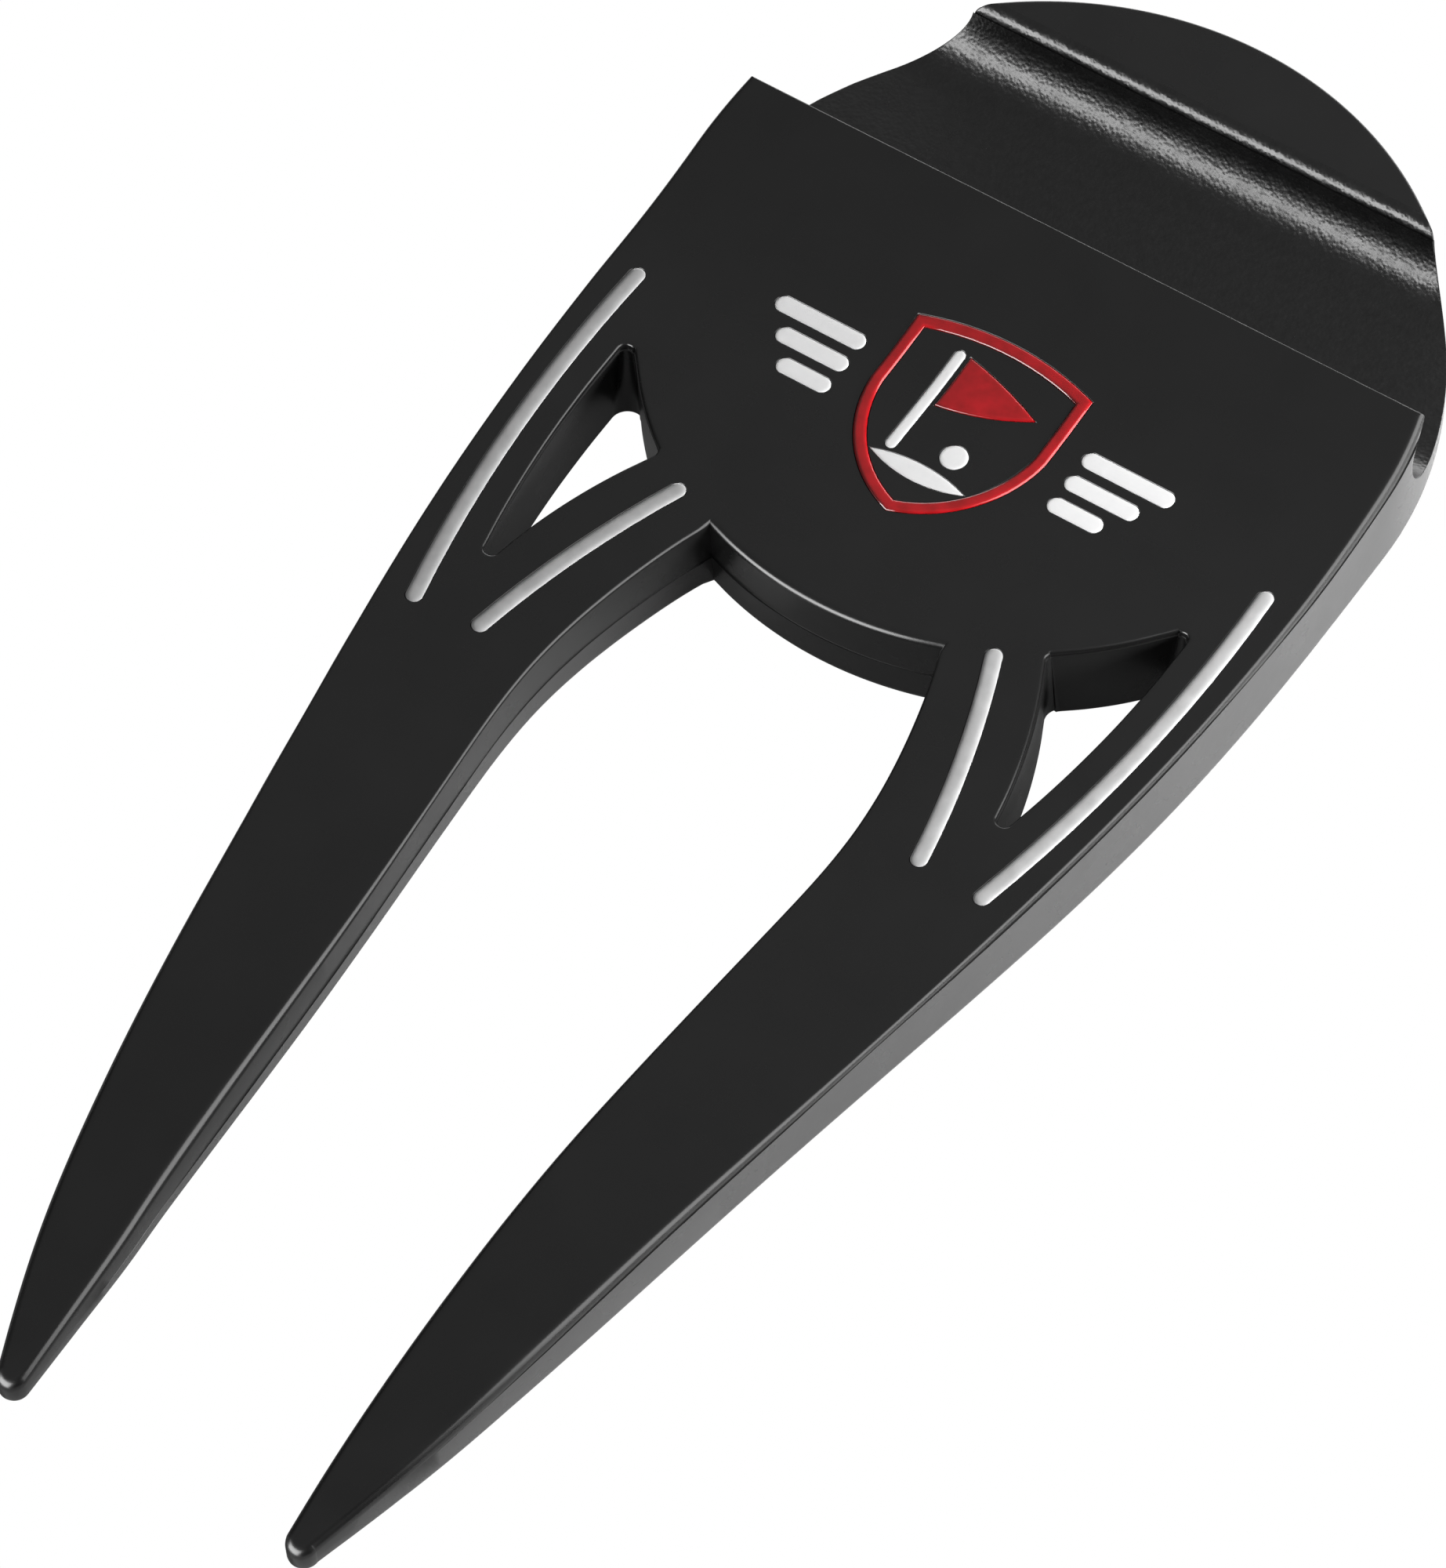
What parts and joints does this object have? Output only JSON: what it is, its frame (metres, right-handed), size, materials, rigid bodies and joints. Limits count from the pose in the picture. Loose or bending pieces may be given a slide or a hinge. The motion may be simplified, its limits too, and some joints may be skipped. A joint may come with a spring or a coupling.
{
  "type": "divot repair tool",
  "caption": "Flat cast golf divot repair tool with arched tines, window cut-outs, a thumb rest and enamel-filled line and flag decoration.",
  "frame": {"origin": "middle of the footprint, on the plane that the flat back rests on", "axes": "+Z out of the decorated face, +Y from the tines to the cap, +X to the right across the face"},
  "size_m": [0.0342, 0.08, 0.006],
  "materials": {
    "black_paint": "semi-gloss black paint over a zinc die casting",
    "grey_enamel": "glossy hard enamel",
    "white_enamel": "satin hard enamel",
    "red_enamel": "glossy translucent hard enamel"
  },
  "bodies": {
    "root": {"cast_body": "black_paint", "outer_right_line": "grey_enamel", "outer_left_line": "grey_enamel", "inner_right_line": "grey_enamel", "inner_left_line": "grey_enamel", "flagstick": "white_enamel", "golf_ball": "white_enamel", "right_wing": "white_enamel", "left_wing": "white_enamel", "pennant": "red_enamel", "putting_green": "white_enamel", "shield": "red_enamel"}
  },
  "joints": []
}
